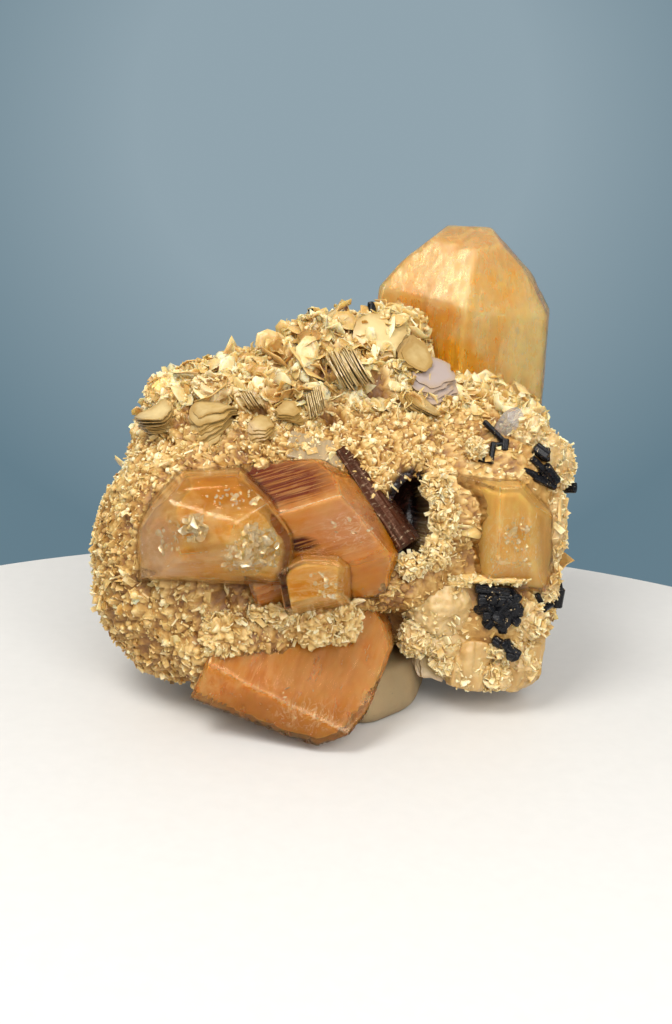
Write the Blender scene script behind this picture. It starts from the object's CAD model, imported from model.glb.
"""Looks of a topaz cluster on albite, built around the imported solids.

Sizes and places are in millimetres in the row frame, and turn into metres when a mesh is made. The side
with the large front crystals faces -Y.
"""

import itertools
import math

import bpy
import numpy as np
from bpy.props import FloatProperty, FloatVectorProperty, IntProperty, PointerProperty
from mathutils import Matrix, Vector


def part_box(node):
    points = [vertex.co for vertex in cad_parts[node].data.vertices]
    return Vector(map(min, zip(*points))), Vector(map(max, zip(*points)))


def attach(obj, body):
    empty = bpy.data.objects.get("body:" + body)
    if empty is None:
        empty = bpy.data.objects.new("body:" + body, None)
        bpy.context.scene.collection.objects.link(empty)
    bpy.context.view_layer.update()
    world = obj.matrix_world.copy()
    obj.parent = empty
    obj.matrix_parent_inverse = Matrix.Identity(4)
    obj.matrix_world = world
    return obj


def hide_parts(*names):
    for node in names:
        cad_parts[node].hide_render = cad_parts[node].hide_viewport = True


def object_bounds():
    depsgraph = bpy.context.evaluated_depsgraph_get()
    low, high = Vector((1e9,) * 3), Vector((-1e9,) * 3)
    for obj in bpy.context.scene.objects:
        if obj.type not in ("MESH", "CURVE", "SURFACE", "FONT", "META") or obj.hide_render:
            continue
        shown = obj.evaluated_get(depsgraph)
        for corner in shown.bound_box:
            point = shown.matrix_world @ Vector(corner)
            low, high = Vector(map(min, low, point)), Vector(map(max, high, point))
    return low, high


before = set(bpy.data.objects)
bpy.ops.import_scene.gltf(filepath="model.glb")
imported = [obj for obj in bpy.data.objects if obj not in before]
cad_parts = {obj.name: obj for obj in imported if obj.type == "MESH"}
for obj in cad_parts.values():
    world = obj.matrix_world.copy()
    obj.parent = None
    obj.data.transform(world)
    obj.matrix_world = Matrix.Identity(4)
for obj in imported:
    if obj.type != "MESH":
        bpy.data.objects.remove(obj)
CAD_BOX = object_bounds()

bl_info = {
    "name": "Topaz Cluster",
    "version": (1, 0, 0),
    "blender": (4, 5, 0),
    "location": "3D View > Sidebar > Topaz",
    "description": "Builds a cluster of topaz crystals on albite, with mica, tourmaline and its putty pad",
    "category": "Add Mesh",
}

MM = 0.001
TURN = 2.0 * math.pi
BODY = "root"

# Camera: its place, the angle that it looks down and its roll, and a lens for a 36 mm sensor
CAMERA_PLACE = (-4.5, -172.0, 75.0)
CAMERA_PITCH = 16.35
CAMERA_ROLL = 2.23
CAMERA_LENS = 49.22

# Grid cuts along a cube's edge, for the ball that each rounded shape is made from
LUMP_CUTS = 128
SMALL_CUTS = 44
POINT_CUTS = 40
NODULE_CUTS = 30

# The albite lump: lobes that run into each other, as centre and radii, around one inner point
LUMP_CENTRE = np.array((-5.0, 7.0, 23.0))
LUMP_LOBES = (
    ((-5, 8, 20.5), (27, 19, 17)), ((-16, 9, 28), (16, 15.5, 14.5)),
    ((-5, 12, 35), (12.5, 12, 12.3)), ((11.5, 17.3, 28.8), (13.5, 15.7, 12.3)),
    ((3, 13, 45.5), (4, 4, 3.6)), ((-6.5, 12.5, 45.2), (3.2, 3.6, 3.2)),
    ((-23, -1.5, 18), (12.5, 12.5, 15)), ((17.5, 5, 25), (8.5, 10.5, 12)),
    ((15.5, 1.8, 11.8), (9, 9.5, 8.8)), ((-16.2, -5, 10.4), (11.2, 10.5, 7.5)),
)
LOBE_BLEND = 1.6
LUMP_REACH = 70.0
# The lump's skin lies this much lower than its solid, and the grains on it fill the difference
GRAIN_BED = 0.45
POCKET = ((4.8, -7.4, 26.5), (2.6, 5.0, 4.6))
# Knolls and hollows of the crust on the lobes: place, radius and height
KNOLLS = (
    ((5.1, 0.7, 35.5), 5, 1.8), ((12.3, 6.2, 38.5), 6, 1.3), ((12.6, -6.2, 29.4), 4.6, 3.4),
    ((10, -7.4, 25), 3.4, 1.6), ((7.5, -8.5, 17.4), 4, 0.8), ((4.4, -9.7, 16.4), 3, 0.8),
    ((2.9, -2.2, 33), 3.6, 1.2), ((3.4, -5.4, 31.6), 3, 2.2), ((-2, -3.8, 35), 2.6, 1.3),
    ((2.6, -5.6, 32.8), 2.4, 1.6), ((-3, -7.6, 32.4), 1.7, -1.5), ((-0.8, -8, 30.6), 1.7, -1.6),
    ((1.4, -8.2, 28.9), 1.7, -1.6), ((3, -8.2, 27.5), 1.7, -1.4), ((-10.5, -5.4, 34.4), 2, 0.8),
    ((-11.9, 6.3, 44.1), 3.6, 1.2), ((-6.2, 8.2, 47.2), 3, 0.8), ((-17.3, 2.8, 41.9), 4, 1),
    ((19, 8.3, 38.3), 4.6, 0.6), ((-5.4, -1.8, 38), 2.2, -2.6), ((-18.6, -1.5, 37.6), 1.8, -1.8),
    ((-15.4, -1, 38.6), 1.8, -1.8), ((0.6, 2.6, 41.4), 2.8, -2.6), ((-27.7, -11.5, 17.8), 1.8, -2.2),
    ((-18.6, -13.4, 17), 1.8, -2.2), ((-30.4, -9.6, 24.4), 1.4, -1.4), ((3, -7.5, 10.5), 4.4, -3.4),
    ((4.6, -9, 20.6), 2.4, -1.6),
)
# Smooth glassy stretches of the lump: place and radii
GLASSY_SPOTS = (((10.5, -7, 13), (8, 7, 8)), ((22.5, 1, 30), (5.5, 7, 9)))
# The grid of the lump is drawn together on its front by this much, so that its crust is finest there
FRONT_SIDE = np.array((-0.05, -0.88, 0.47))
FRONT_SHARE = 0.34

# Crystals: centre, long axis, and the turn about the axis, tilt to the tip and distance of each face
CRYSTALS = {
    "tall": (
        (12, 23, 40),
        (0.02, 0, 1),
        (
            (-27, 0, 8.6), (24, 0, 8.4), (80, 1, 11.8), (156, 0, 8.6), (206, 0, 8.8), (-94, 2, 12.2),
            (25, 22, 11), (-24, 30, 12.3), (80, 30, 14.1), (82, 45, 15.5), (-97, 38, 15.7),
            (-99, 49, 16.5), (156, 30, 12.8), (206, 30, 12.8), (-10, 68, 17.4), (180, 84, 19.2),
            (0, -90, 13),
        ),
    ),
    "front": (
        (-7, -6, 24.5),
        (0.94, 0.16, 0.29),
        (
            (-61, 0, 8.1), (-1, 0, 7.9), (27, 0, 8.8), (93, -16, 8.1), (-107, 14, 8), (-83, 42, 7.8),
            (-54, 57, 7.6), (-42, 59, 7.9), (-10, 72, 9.4), (43, 49, 11.2), (180, 9, 13), (-140, 18, 9.8),
            (0, -90, 10),
        ),
    ),
    "knob": (
        (-18.5, -12, 25.5),
        (0.97, 0, 0.22),
        (
            (-37, -69, 9.3), (-76, -53, 8.5), (-88, -32, 7.6), (-97, 8, 6.8), (-100, 49, 7),
            (-99, 68, 7.6), (56, 83, 9.2), (66, 68, 9.8), (62, -12, 6.5), (-14, -7, 8.3), (2, 30, 8.8),
            (-12, -44, 8.3), (-49, 10, 7.9), (39, -8, 6.8), (180, 0, 9),
        ),
    ),
    "stub": (
        (-6.4, -14.5, 19),
        (0.97, 0.05, 0.2),
        (
            (0, -90, 4), (-96, -20, 4.8), (-98, 13, 4.3), (-93, 53, 4.8), (42, 71, 3.6), (60, 3, 2),
            (-10, -1, 3.9), (180, 0, 9),
        ),
    ),
    "lower": (
        (-8, -8, 9),
        (-0.30, -0.67, -0.68),
        (
            (9, 0, 5.4), (14, 44, 10.5), (18, -54, 7.4), (-39, -40, 10.5), (-51, -27, 11.1), (-70, 0, 11),
            (-89, 42, 13.3), (-130, 11, 3.9), (-163, 23, 2.7), (-168, 22, 2.3), (94, -2, 10.2),
            (173, -51, 9.7),
        ),
    ),
    "right": (
        (16, 0.5, 23.5),
        (0.02, 0, 1),
        (
            (10, 3, 9), (-40, -1, 7.3), (92, 6, 6.6), (53, 4, 8.4), (150, 0, 7), (210, 0, 7),
            (-90, 0, 8), (81, 43, 7.3), (0, 90, 7.5), (9, -24, 9.2), (0, -86, 7),
        ),
    ),
    "smoky": (
        (0.2, -6.2, 28.4),
        (0.60, -0.40, -0.70),
        (
            (-39, 2, 1.3), (61, -2, 1.5), (-83, -1, 1.3), (140, 0, 2.4), (-140, 0, 2.6), (0, 90, 7.4),
            (0, -90, 7.4),
        ),
    ),
    "point": (
        (16.7, 0.8, 36.2),
        (0.40, -0.35, 0.85),
        (
            (0, 0, 1.3), (60, 0, 1.4), (120, 0, 1.3), (180, 0, 1.4), (240, 0, 1.3), (300, 0, 1.4),
            (10, 48, 2.1), (130, 44, 2.4), (250, 46, 2.3), (0, -90, 1.8),
        ),
    ),
    "plate": (
        (-7, -4, 33.1),
        (0.15, -0.72, 0.66),
        (
            (0, 0, 1.8), (180, 0, 1.9), (90, 0, 3.9), (-90, 0, 3.9), (45, 0, 3.7), (130, 0, 3.3),
            (0, 90, 0.8), (0, -90, 0.8),
        ),
    ),
    "block": (
        (13.2, -4.4, 7.2),
        (0.08, 0, 1),
        (
            (6, 0, 3.3), (62, 0, 3.2), (-66, 0, 3.2), (122, 0, 3), (-124, 0, 3), (20, 78, 4.2),
            (-10, -76, 4.1),
        ),
    ),
    "corner": (
        (19, -1.8, 6.4),
        (0.12, 0, 1),
        (
            (-14, 0, 3.9), (40, 0, 4.4), (95, 4, 3.9), (-88, 0, 2.6), (170, 0, 4.2), (50, -42, 4.5),
            (0, 80, 4.2), (-20, -74, 3.9),
        ),
    ),
}
LARGE_CRYSTALS = ("tall", "front", "knob", "stub", "lower", "right", "smoky")
# Knobs broken out of the front crystal: place and radius
CRYSTAL_HOLLOWS = {"front": (((0.0, -14.2, 24.6), 0.8), ((-2.2, -15.0, 22.2), 0.6))}

# Patches of colour inside the crystals: place, radii and colour
CORE_PATCHES = {
    "tall": (
        ((12, 17, 57.5), (12, 9, 4), (0.93, 0.64, 0.29)),
        ((6, 15, 48), (5, 5, 8), (0.86, 0.47, 0.09)),
        ((8, 17, 50.5), (2.4, 4, 2.6), (0.90, 0.64, 0.30)),
        ((11, 15, 42), (3.6, 4, 4), (0.98, 0.54, 0.05)),
        ((14.2, 15.5, 50.5), (2.5, 2, 4), (1, 0.95, 0.70)),
        ((20.5, 17, 44), (3.4, 6, 8), (1, 0.82, 0.46)),
    ),
    "front": (
        ((-11.5, -9.5, 30.5), (6.6, 6, 3.4), (0.26, 0.03, 0.002)),
        ((-3, -12, 27), (5.4, 4, 3.8), (0.80, 0.42, 0.21)),
        ((-1, -13.5, 19.5), (6, 5, 3), (0.84, 0.35, 0.004)),
        ((3, -9, 24), (2, 5, 6), (0.84, 0.36, 0.006)),
        ((-2.6, -13, 26.5), (4, 3, 3), (1, 0.85, 0.68)),
        ((-8.6, -13.4, 24.4), (2.2, 2, 1), (0.10, 0.008, 0.001)),
    ),
    "knob": (
        ((-25, -15, 25), (3.6, 5, 4.6), (0.82, 0.54, 0.31)),
        ((-17.5, -15, 31), (6, 4, 3), (0.74, 0.31, 0.015)),
        ((-14, -17, 24.5), (3.6, 4, 3.6), (0.93, 0.64, 0.20)),
        ((-14, -17, 24.5), (4, 4, 4), (1, 0.95, 0.70)),
        ((-21, -17, 27.4), (2, 4, 2.2), (1, 0.95, 0.90)),
    ),
    "lower": (
        ((-10, -17, 3.5), (13, 7, 3.6), (0.58, 0.22, 0.004)),
        ((-5, -15, 8.5), (7, 5, 3.5), (0.70, 0.35, 0.09)),
        ((-12.6, -15, 12), (0.9, 2.4, 2.4), (0.44, 0.10, 0.003)),
        ((-7, -18, 4.5), (5, 4, 2), (0.98, 0.84, 0.60)),
    ),
    "right": (
        ((17, -6, 23), (14, 14, 14), (0.95, 0.62, 0.20)),
        ((17.4, -7, 23), (4, 3, 5), (1, 0.92, 0.66)),
    ),
    "stub": (((-5, -17, 20.5), (2.4, 2, 2), (1, 0.90, 0.62)),),
}
# A patch darker than this, red, green and blue together, shows as stripes along the crystal, and a brighter
# one as a net of fine fractures
DARK_TINT = 0.35
BRIGHT_TINT = 2.4

# Fractures and sparkles inside the clear layers: crystal, number, place, radii, size, lie of the flakes and
# how much the lie varies
SPARKLES = (
    ("knob", 60, (-20.4, -19.2, 27.6), (1.4, 0.8, 1.5), 0.42, (0.3, -1, 0.2), 0.6),
    ("knob", 320, (-14, -18.2, 24.6), (3.6, 1.6, 3.6), 0.24, (-0.3, -1, 0.5), 0.45),
    ("knob", 60, (-16.5, -16.8, 30.4), (3.4, 1, 1.8), 0.16, (0, -0.7, 0.7), 0.4),
    ("knob", 60, (-24, -18, 26), (3, 1.4, 2.4), 0.24, (-0.3, -0.8, 0.3), 0.6),
    ("right", 80, (18.6, -8, 25.4), (2.6, 0.5, 2.4), 0.16, (0.2, -1, 0), 0.3),
    ("right", 90, (17, -8, 21), (4, 0.6, 4), 0.14, (0.2, -1, 0), 0.3),
    ("stub", 60, (-5.4, -18, 21.6), (2.4, 0.6, 2.4), 0.18, (0, -1, 0.2), 0.4),
    ("tall", 60, (15.5, 15.5, 51), (3, 1, 5), 0.18, (0.4, -0.8, 0.3), 0.4),
    ("front", 60, (-2.4, -13, 26.5), (4, 1.2, 3), 0.20, (0.1, -1, 0.1), 0.4),
    ("lower", 90, (-6, -17.6, 6.5), (7, 1.6, 3.5), 0.18, (0.1, -0.8, 0.6), 0.4),
)

# Tourmaline needles on each solid: start, end and radius
NEEDLES = {
    "schorl_mass": (
        ((13.2, -7.6, 17.6), (17.4, -7.8, 17.2), 0.6), ((13.6, -7.4, 16.1), (18.6, -7.8, 16.3), 0.9),
        ((14.2, -7.9, 14.2), (19.2, -7.6, 15), 0.8), ((14.8, -7.6, 12.6), (17.6, -8, 16.6), 0.8),
        ((16.4, -7.6, 12.4), (18.8, -7.9, 15.8), 0.8), ((17, -7.2, 11.9), (16.6, -8.4, 14), 0.6),
        ((13.6, -7, 14.6), (15.4, -8.6, 15.6), 0.7), ((15.6, -6.8, 13.2), (16.2, -8.8, 14.4), 0.8),
        ((17.8, -6.8, 17), (18.4, -8.6, 16.8), 0.6), ((14.6, -6.8, 17), (15.6, -8.8, 16.4), 0.7),
        ((17.4, -6.8, 14.2), (18.6, -8.7, 13.6), 0.6),
    ),
    "schorl_foot": (
        ((15.8, -7.8, 11), (19.2, -8, 9), 0.6), ((17.4, -7.6, 10.9), (18.8, -8.2, 8.5), 0.6),
        ((16.2, -7.2, 10.2), (17.4, -8.6, 10.6), 0.6), ((18.2, -7, 9.8), (18, -8.7, 9), 0.6),
    ),
    "schorl_spray": (
        ((20, -3.2, 31), (22.8, -2.8, 29.7), 0.5), ((17.8, -2.6, 32), (20.3, -3.2, 31.1), 0.55),
        ((21.2, -2.6, 32.2), (22.8, -2.5, 30.2), 0.9), ((19.6, -2.2, 33.2), (21.4, -2.9, 31.7), 0.45),
        ((20, -1.6, 34.4), (21.6, -2, 33.4), 0.8), ((21.6, -1.2, 34.3), (21.6, -2, 32.8), 0.4),
    ),
    "schorl_needles": (
        ((13.6, -0.2, 37.2), (16.6, -1.6, 34.6), 0.36), ((16.3, -1.4, 35.3), (16.2, -2, 34), 0.45),
        ((16.5, -1.7, 34.8), (14.6, -1.7, 34.6), 0.28), ((14.8, -1.6, 34.9), (14.5, -2.6, 32.6), 0.36),
        ((12.9, -2.4, 32.9), (15.4, -2.8, 32.3), 0.36),
    ),
    "schorl_knob_right": (((24.4, 1.3, 28.6), (25.9, 0.4, 28.9), 0.65),),
    "schorl_knob_top": (((-0.8, 11.6, 46.4), (-0.9, 12.4, 49.8), 0.6),),
    "schorl_ridge": (
        ((-8, 11.4, 46.2), (-8.9, 11.8, 48.7), 0.36), ((-8.1, 11.4, 46.6), (-7.5, 10.6, 47.9), 0.3),
    ),
    "schorl_rim": (
        ((21.2, -5.4, 16.4), (22.4, -4.9, 14.2), 0.36), ((22.2, -5.1, 14.3), (23.3, -4, 14.6), 0.5),
    ),
    "schorl_edge": (
        ((24.3, -2, 17.2), (24.7, -1.8, 15.6), 0.4), ((24.7, -1.7, 16), (24.5, -1.6, 13.4), 0.6),
    ),
}

# Mica books: stacking axis, radius, half thickness, how much the sheets bend, and tone from pale to brown
BOOKS = {
    "mica_left": ((-0.35, -0.30, 0.89), 2.4, 1.3, 0.14, 0.45),
    "mica_fold": ((-0.15, -0.35, 0.93), 2.8, 0.9, -0.18, 0.55),
    "mica_upright": ((0.83, 0.10, 0.55), 2.6, 1.7, 0.02, 0.25),
    "mica_small": ((0.98, 0.10, 0.18), 1.7, 1, 0.03, 0.20),
    "mica_tan": ((0.80, 0.20, 0.55), 1.4, 0.9, 0.03, 0.40),
    "mica_ridge_plate": ((0.05, -0.62, 0.78), 3.4, 0.5, -0.06, 0.30),
    "mica_brown": ((0.35, -0.75, 0.55), 2.4, 0.8, 0.05, 0.75),
    "mica_amber": ((0.10, -0.50, 0.86), 1.6, 0.6, -0.15, 0.80),
    "mica_rust": ((-0.10, -0.60, 0.80), 1.5, 0.5, -0.15, 0.70),
    "mica_gold": ((0.55, -0.20, 0.80), 2.2, 0.8, 0.06, 0.60),
    "mica_olive": ((0.10, -0.90, 0.30), 2.2, 1.2, 0.03, 0.50),
}
LEPIDOLITE = ((0.12, -0.62, 0.77), 3.2, 0.8, -0.03)
SHEET_OUTLINE = ((-24, 0.92), (38, 1.0), (99, 0.86), (157, 1.0), (218, 0.94), (277, 1.0))

# Rounded lumps: slot, and a centre and radii for each ball
NODULES = {
    "feldspar_yellow": ("feldspar", (((-26.2, 5.4, 38), (3.5, 3, 2.8)),)),
    "feldspar_white": ("feldspar", (((-20.4, 0.8, 39.6), (2.7, 1.9, 1.9)),)),
    "albite_glassy": (
        "feldspar",
        (
            ((8.6, -6.2, 14.6), (4.2, 2.8, 4)), ((6.1, -7, 10.6), (2, 1.7, 2.7)),
            ((9.4, -6, 9.8), (2.6, 1.9, 2.2)),
        ),
    ),
    "albite_crust": (
        "albite",
        (
            ((-7, -12.8, 13.8), (3.8, 2, 2.6)), ((-11.6, -13.2, 15.4), (3.4, 1.8, 1.5)),
            ((-3.6, -11.8, 14.2), (2.8, 2, 2.9)),
        ),
    ),
    "albite_tuft": ("albite", (((-17.2, -14.4, 12.8), (3, 1.8, 3)),)),
}
# Rounded lumps that belong to the large lump itself
OWN_LUMPS = {
    "shoulder_feldspar": (
        "feldspar",
        (
            ((21.3, 1.2, 33.2), (3, 2.4, 3.2)), ((24, 2, 31.2), (1.9, 2.6, 3.2)),
            ((19.2, 0.6, 36), (2.4, 2, 2.4)), ((23.3, -1.6, 24), (1.5, 2.4, 5)),
            ((22.6, -2.8, 17.2), (1.8, 2.4, 3.2)), ((20.2, -5.4, 13), (2.4, 1.8, 2.6)),
            ((12.6, -2.4, 34.2), (1.2, 1, 1.2)), ((13, -6.4, 6.2), (2.2, 1.5, 2.4)),
            ((16.6, -5.6, 5.4), (2.2, 1.8, 2.2)), ((20.4, -4.4, 7), (1.9, 1.9, 2.6)),
            ((10.2, -6.4, 7), (1.6, 1.3, 1.6)), ((17.2, -6.6, 9.4), (2.2, 1.3, 1.4)),
        ),
    ),
    "right_lip": (
        "topaz_pale",
        (((14.4, -6.8, 18.7), (5.6, 1.2, 0.6)), ((10.2, -7, 18.3), (2.6, 1.1, 0.6))),
    ),
    "pocket_rim": (
        "albite",
        (
            ((8.6, -8, 26.8), (1.7, 1.5, 3)), ((8, -8.6, 22.4), (1.6, 1.3, 2.2)),
            ((7.6, -7.6, 30.4), (1.8, 1.4, 1.7)), ((5, -9.2, 20.8), (1.8, 1.2, 1.6)),
        ),
    ),
}
# How crusty a rounded lump is and how many blades each of its balls carries, by its slot
CRUSTY = {"albite": 1.0, "feldspar": 0.6, "topaz_pale": 0.5}
BALL_BLADES = {"albite": 200, "feldspar": 200, "topaz_pale": 120}

# Putty pad: centre, half widths, and its profile as height and reach beyond the outline, from the top out,
# down the side and in underneath
PUTTY_MIDDLE = (0.0, 3.5)
PUTTY_RADII = (7.3, 13.0)
PUTTY_TOP = 6.4
PUTTY_AROUND = 160
PUTTY_PROFILE = (
    (6.4, 0.6), (6.5, 0.9), (6.4, 1), (6, 1.03), (5, 1.06), (3.6, 1.09), (2.2, 1.11), (1.2, 1.10),
    (0.5, 1.07), (0.15, 1.03), (0, 1), (0, 0.6),
)

# Floor and backdrop
FLOOR_CENTRE = (-2.0, -37.0)
FLOOR_RADIUS = 100.0
FLOOR_TOP = -0.02
FLOOR_DEPTH = 6.0
WALL_RADIUS = 900.0
WALL_LOW, WALL_HIGH = -320.0, 300.0
WALL_MIDDLE = (-15.0, 900.0, 60.0)
WALL_FADE = 420.0
STAGE_AROUND = 128
LIGHT_TARGET = (0.0, 0.0, 20.0)


def unit(vectors):
    """Vectors made one long."""
    return vectors / np.linalg.norm(vectors, axis=-1, keepdims=True)


def circle(count):
    """Even angles round a circle."""
    return np.arange(count) / count * TURN


CORNERS = np.array(list(itertools.product((0, 1), repeat=3)))
NEIGHBOURS = np.array(list(itertools.product((-1, 0, 1), repeat=3)))
CELL_PRIMES = np.array((73856093, 19349663, 83492791), dtype=np.int64)


def cell_random(cells, seed):
    """A number from 0 to 1 for each whole-number cell, mixed from its three numbers and the seed."""
    mixed = (cells * CELL_PRIMES).sum(axis=-1) + seed * 374761393
    mixed = (mixed ^ (mixed >> 13)) * 1274126177
    return ((mixed ^ (mixed >> 16)) & 0xFFFFFF) / 0xFFFFFF


def value_noise(points, size, seed):
    """Smooth noise from -1 to 1: random numbers at the corners of cells of that size, eased between them."""
    scaled = points / size
    cells = np.floor(scaled).astype(np.int64)
    part = smooth_step(scaled - cells, 0.0, 1.0)
    total = np.zeros(len(points))
    for corner in CORNERS:
        weight = np.prod(np.where(corner == 1, part, 1.0 - part), axis=-1)
        total += weight * cell_random(cells + corner, seed)
    return 2.0 * total - 1.0


def rough_noise(points, size, seed, octaves=4):
    """Value noise added to itself at half the size and height, over and over."""
    return sum(value_noise(points, size / 2**k, seed + k) / 2**k for k in range(octaves))


def smooth_step(values, low, high):
    """0 below low, 1 above high, and eased between as 3 x^2 - 2 x^3."""
    part = np.clip((values - low) / (high - low), 0.0, 1.0)
    return part * part * (3.0 - 2.0 * part)


def cell_distance(points, size, seed):
    """Distance to the nearest and next nearest of one random point in each cell, in units of the cell."""
    scaled = points / size
    cells = np.floor(scaled).astype(np.int64)
    nearest = np.full(len(points), 9.0)
    following = np.full(len(points), 9.0)
    for step in NEIGHBOURS:
        near = cells + step
        seeds = near + np.stack([cell_random(near, seed + axis) for axis in range(3)], axis=-1)
        distance = np.linalg.norm(seeds - scaled, axis=-1)
        following = np.minimum(following, np.maximum(nearest, distance))
        nearest = np.minimum(nearest, distance)
    return nearest, following


def ball_grid(cuts):
    """The gridded faces of a cube blown up to a ball: unit directions, and quads that share seam points.

    A grid line stands at the tangent of an even angle, so that the quads come out much alike.
    """
    first, second = np.meshgrid(np.arange(cuts + 1), np.arange(cuts + 1), indexing="ij")
    low, high = np.zeros_like(first), np.full_like(first, cuts)
    sides = (
        (high, first, second), (low, second, first), (second, high, first),
        (first, low, second), (first, second, high), (second, first, low),
    )
    lattice = np.concatenate([np.stack(side, axis=-1).reshape(-1, 3) for side in sides])
    keys = (lattice * np.array([(cuts + 1) ** 2, cuts + 1, 1])).sum(axis=1)
    _, kept, place = np.unique(keys, return_index=True, return_inverse=True)
    grid = np.arange((cuts + 1) ** 2).reshape(cuts + 1, cuts + 1)
    quads = np.stack([grid[:-1, :-1], grid[1:, :-1], grid[1:, 1:], grid[:-1, 1:]], axis=-1).reshape(-1, 4)
    quads = np.concatenate([quads + side * (cuts + 1) ** 2 for side in range(6)])
    directions = unit(np.tan((2.0 * lattice[kept] / cuts - 1.0) * math.pi / 4.0))
    return directions, place.reshape(-1)[quads]


def ring_faces(rings, around):
    """Faces of a closed shape whose points are a top pole, rings from top to bottom, and a bottom pole."""
    ring = 1 + around * np.arange(rings - 1)[:, None]
    step = np.arange(around)[None, :]
    after = (step + 1) % around
    quads = [ring + step, ring + around + step, ring + around + after, ring + after]
    step, after = step[0], after[0]
    pole = 1 + rings * around
    top = np.stack([np.zeros_like(step), 1 + step, 1 + after], axis=-1)
    bottom = np.stack([np.full_like(step, pole), pole - around + after, pole - around + step], axis=-1)
    return np.stack(quads, axis=-1).reshape(-1, 4), np.concatenate([top, bottom])


def ring_solids(reach, angles, levels, top, bottom):
    """Points for ring_faces: (cos, sin) times a reach given per solid, ring and angle, between two poles."""
    count, rings, around = reach.shape
    solids = np.zeros((count, rings * around + 2, 3))
    rounds = (reach * np.cos(angles), reach * np.sin(angles), np.broadcast_to(levels, reach.shape))
    solids[:, 1:-1] = np.stack(rounds, axis=-1).reshape(count, -1, 3)
    solids[:, 0, 2], solids[:, -1, 2] = top, bottom
    return solids


def joined(solids, faces):
    """One mesh's points and faces from an array (solid, point, xyz) and the faces of one solid."""
    shift = solids.shape[1] * np.arange(len(solids))[:, None, None]
    return solids.reshape(-1, 3), [(group + shift).reshape(-1, group.shape[1]) for group in faces]


def frames_on(axes, turns):
    """For each axis a frame whose third column is the axis and whose first is turned by an angle about it."""
    axes = unit(axes)
    helper = np.where(np.abs(axes[:, 2:3]) < 0.9, (0.0, 0.0, 1.0), (1.0, 0.0, 0.0))
    side = unit(np.cross(helper, axes))
    other = np.cross(axes, side)
    cosine, sine = np.cos(turns)[:, None], np.sin(turns)[:, None]
    return np.stack([side * cosine + other * sine, other * cosine - side * sine, axes], axis=-1)


def crystal_frame(name):
    """Front of a crystal's belt, the side that its faces turn to, and its long axis."""
    up = unit(np.array(CRYSTALS[name][1]))
    front = np.array((0.0, -1.0, 0.0))
    front = unit(front - up * front.dot(up))
    return front, np.cross(up, front), up


def crystal_planes(name):
    """Centre, and the outward normals, tilts and distances of a crystal's faces."""
    centre, _, faces = CRYSTALS[name]
    front, side, up = crystal_frame(name)
    turns, tilts, distances = np.array(faces, dtype=float).T
    turns, leans = np.radians(turns)[:, None], np.radians(tilts)[:, None]
    belt = front * np.cos(turns) + side * np.sin(turns)
    return np.array(centre), belt * np.cos(leans) + up * np.sin(leans), tilts, distances


def inside_crystal(name, points, margin):
    """Which points lie inside a crystal's faces, each moved out by the margin."""
    centre, normals, _, distances = crystal_planes(name)
    return ((points - centre) @ normals.T < distances + margin).all(axis=1)


def clear_of_crystals(points, margin=0.0):
    """Which points lie outside every large crystal."""
    return ~np.any([inside_crystal(name, points, margin) for name in LARGE_CRYSTALS], axis=0)


def hollow_out(centre, directions, reach, hollows):
    """Reach along each direction, stopped short where it would enter one of the hollows (place, radii)."""
    for place, radii in hollows:
        scale = np.array(radii) * np.ones(3)
        offset = (np.array(place) - centre) / scale
        heading = directions / scale
        length = np.linalg.norm(heading, axis=1)
        along = (heading @ offset) / length**2
        depth = 1.0 - (offset @ offset - along**2 * length**2)
        entry = along - np.sqrt(np.maximum(depth, 0.0)) / length
        reach = np.where((depth > 0.0) & (entry > 0.0), np.minimum(reach, entry), reach)
    return reach


def crystal_skin(name, cuts, ridge=0.04, ridge_size=0.9, wave=0.05, wear=0.25, seed=0, sharp=90.0, inset=0.0):
    """A crystal as distance over direction, on a ball grid.

    In each direction the reach is the least over all faces of distance / cosine to the face, with the least
    taken as a high power mean so that edges come out slightly round. Faces of the belt carry ridges along
    the axis, sloping faces soft waves, and edges are worn in places. Returns the points, the quads, and a
    mark from 0 on the middle of a face to 1 on an edge.
    """
    directions, quads = ball_grid(cuts)
    centre, normals, tilts, distances = crystal_planes(name)
    axis = crystal_frame(name)[2]
    crowd = np.clip(directions @ normals.T, 0.0, None) / np.maximum(distances - inset, 0.4)
    face = crowd.argmax(axis=1)
    two = np.partition(crowd, -2, axis=1)[:, -2:]
    reach = 1.0 / (crowd**sharp).sum(axis=1) ** (1.0 / sharp)
    points = directions * reach[:, None]
    normal = normals[face]
    cosine = np.clip((directions * normal).sum(axis=1), 0.2, None)
    gap = (two[:, 1] / np.maximum(two[:, 0], 1e-6) - 1.0) * reach
    rim = np.exp(-gap / 0.55)
    across = unit(np.cross(axis, normal) + 1e-9)
    striped = np.stack([(points * across).sum(axis=1), (points @ axis) / 14.0, face * 7.3], axis=-1)
    ridges = value_noise(striped, ridge_size, seed) + 0.5 * value_noise(striped, ridge_size * 0.4, seed + 5)
    waves = rough_noise(points + face[:, None] * 11.0, 3.5, seed + 9, 3)
    steps = np.floor(2.2 * value_noise(points + face[:, None] * 5.0, 4.5, seed + 12)) * 0.5
    belt = np.abs(tilts[face]) < 20.0
    lift = np.where(belt, ridge * ridges, 0.0) + wave * (waves + np.where(belt, 0.0, steps))
    worn = np.clip(rough_noise(points, 2.2, seed + 20, 3), 0.0, None) * rim
    reach = reach + lift * (1.0 - 0.7 * rim) / cosine - wear * worn
    reach = hollow_out(centre, directions, reach, () if inset else CRYSTAL_HOLLOWS.get(name, ()))
    return (centre + directions * reach[:, None], [quads]), rim


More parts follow.
